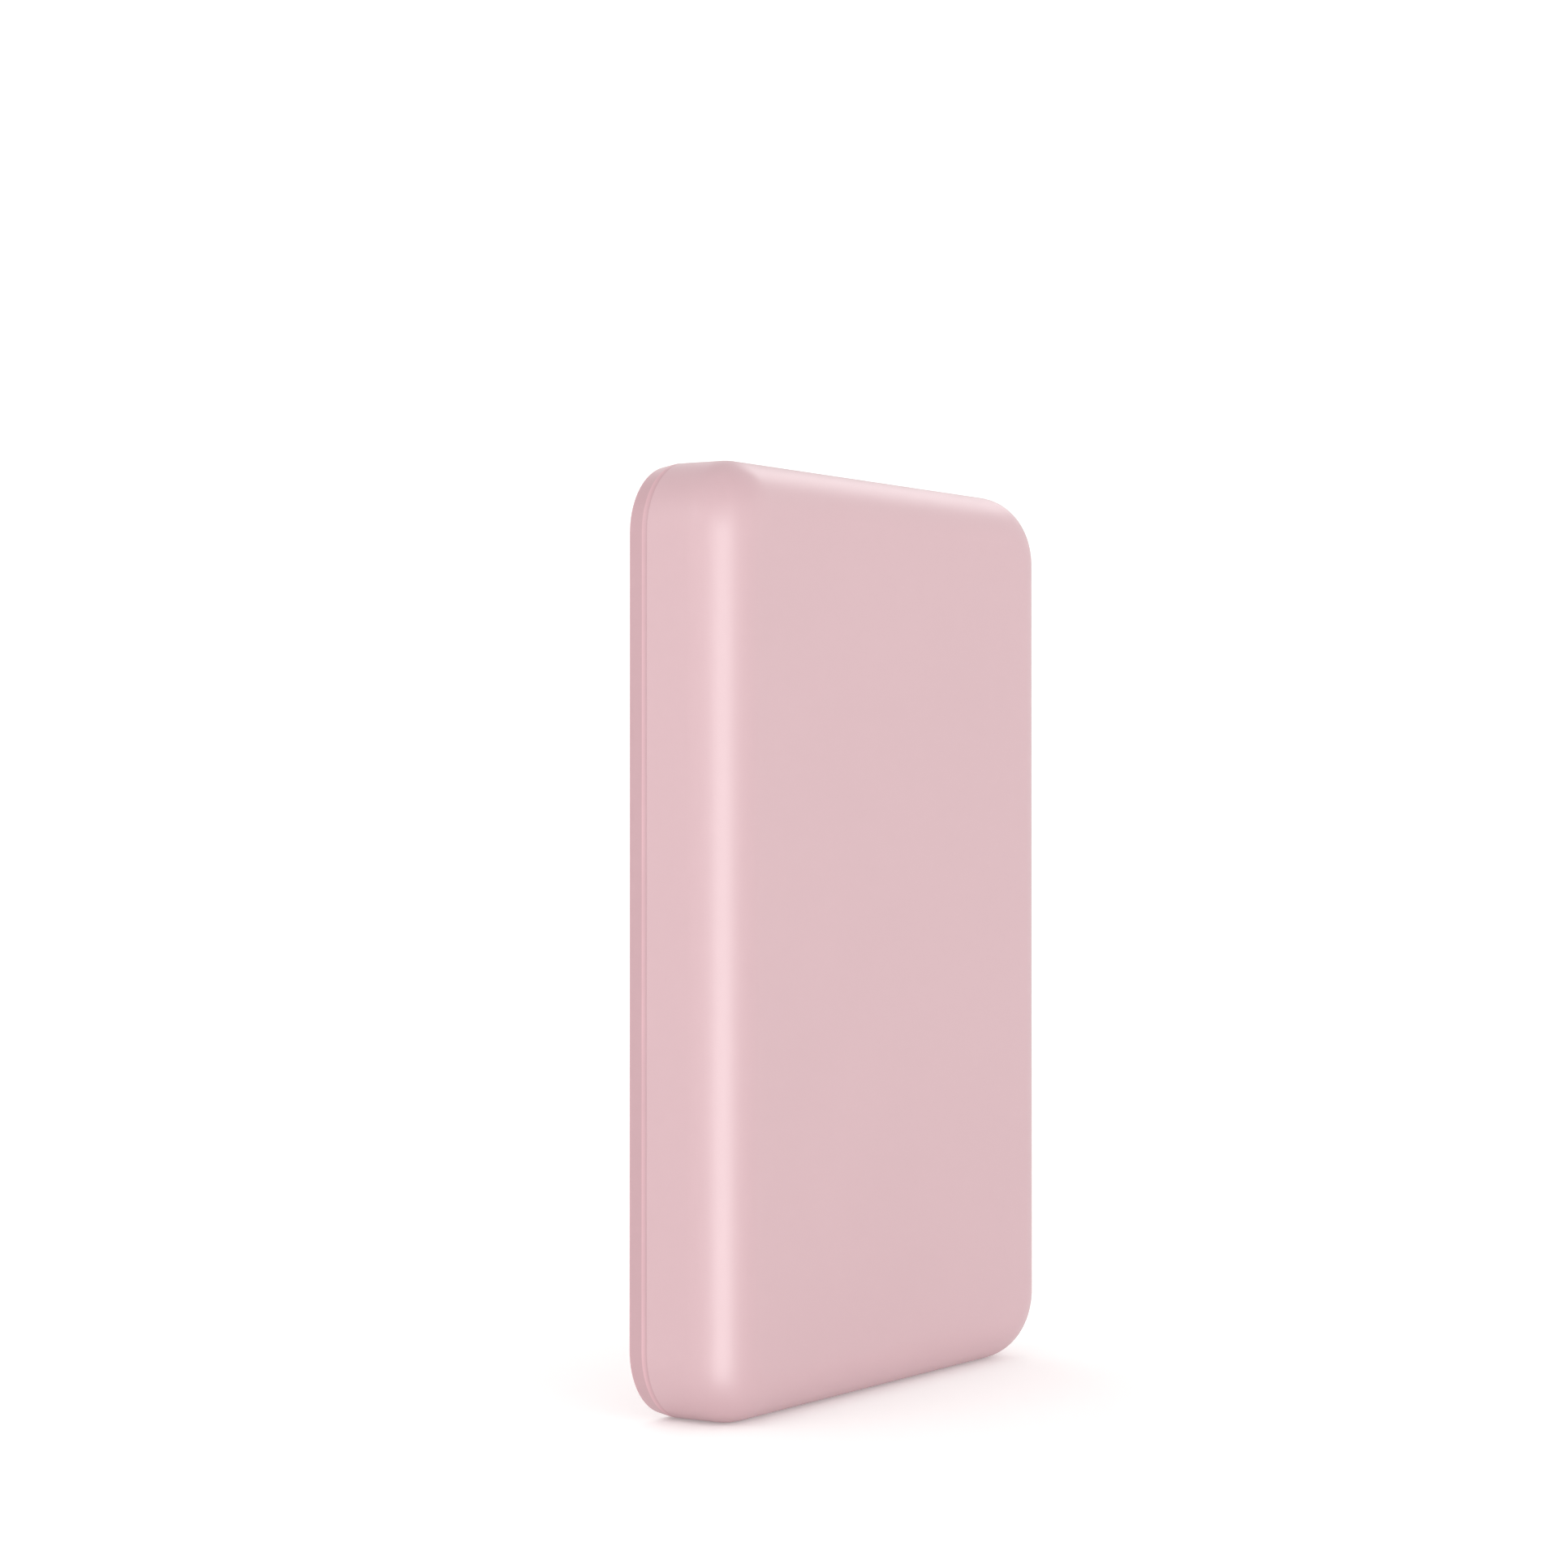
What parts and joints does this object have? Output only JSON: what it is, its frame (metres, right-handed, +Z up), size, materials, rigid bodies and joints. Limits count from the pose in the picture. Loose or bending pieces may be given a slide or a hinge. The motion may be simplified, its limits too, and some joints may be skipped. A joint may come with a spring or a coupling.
{
  "type": "power bank",
  "caption": "Slim magnetic power bank: rounded slab case, soft disc that clings to a phone's back, USB-C port, status lights and a press button in one side wall.",
  "frame": {"origin": "centre of the bottom end, on the surface that the power bank stands on", "axes": "+Z up along its height, +X across its width towards the wall with the port and the button, +Y through its thickness towards the phone; the rounded outer face looks along -Y"},
  "size_m": [0.065, 0.0124, 0.096],
  "materials": {
    "shell": "satin",
    "cover": "satin",
    "pad": "matte",
    "button": "satin",
    "frame_plastic": "matte",
    "cell_pouch": "satin",
    "nickel": "satin",
    "foam": "matte",
    "circuit_board": "satin",
    "chip": "matte",
    "wire_red": "satin",
    "wire_black": "satin",
    "copper": "satin",
    "ferrite": "matte",
    "aluminium_sheet": "satin",
    "black_plastic": "matte",
    "steel": "satin",
    "port_steel": "satin",
    "magnet": "polished",
    "led": "gloss",
    "clear_plastic": "gloss",
    "capacitor": "satin"
  },
  "bodies": {
    "case": {"front_shell": "shell", "rear_cover": "cover", "contact_pad": "pad", "mid_frame": "frame_plastic", "battery_cell": "cell_pouch", "cell_tab_positive": "nickel", "cell_tab_negative": "nickel", "cell_foam": "foam", "protection_board": "circuit_board", "protection_chip": "chip", "battery_wire_positive": "wire_red", "battery_wire_negative": "wire_black", "charging_coil": "copper", "coil_lead_inner": "copper", "coil_lead_outer": "copper", "ferrite_sheet": "ferrite", "heat_spreader": "aluminium_sheet", "magnet_carrier": "black_plastic", "magnet_back_ring": "steel", "ring_magnet_1": "magnet", "ring_magnet_2": "magnet", "ring_magnet_3": "magnet", "ring_magnet_4": "magnet", "ring_magnet_5": "magnet", "ring_magnet_6": "magnet", "ring_magnet_7": "magnet", "ring_magnet_8": "magnet", "ring_magnet_9": "magnet", "ring_magnet_10": "magnet", "ring_magnet_11": "magnet", "ring_magnet_12": "magnet", "ring_magnet_13": "magnet", "ring_magnet_14": "magnet", "alignment_magnet": "magnet", "main_board": "circuit_board", "board_screw_1": "steel", "board_screw_2": "steel", "board_screw_3": "steel", "usb_shell": "port_steel", "usb_tongue": "black_plastic", "led_1": "led", "led_2": "led", "led_3": "led", "led_4": "led", "light_pipe": "clear_plastic", "power_inductor": "ferrite", "resonance_capacitor": "capacitor", "coil_driver_chip": "chip", "charger_chip": "chip", "control_chip": "chip", "supply_capacitor_1": "capacitor", "supply_capacitor_2": "capacitor", "thermistor": "chip", "switch_housing": "black_plastic", "switch_cover": "steel", "snap_dome": "steel"},
    "button": {"power_button": "button"},
    "plunger": {"switch_plunger": "black_plastic"}
  },
  "joints": [
    {"name": "button_press", "type": "slide", "parent": "case", "child": "button", "axis": [-1, 0, 0], "range_m": [0, 0.0003], "stiffness_N_per_m": 5000},
    {"name": "plunger_press", "type": "slide", "parent": "case", "child": "plunger", "axis": [-1, 0, 0], "range_m": [0, 0.0003], "deforming": ["snap_dome"]}
  ],
  "couplings": [
    {"joint": "plunger_press", "follows": "button_press", "ratio": 1}
  ]
}
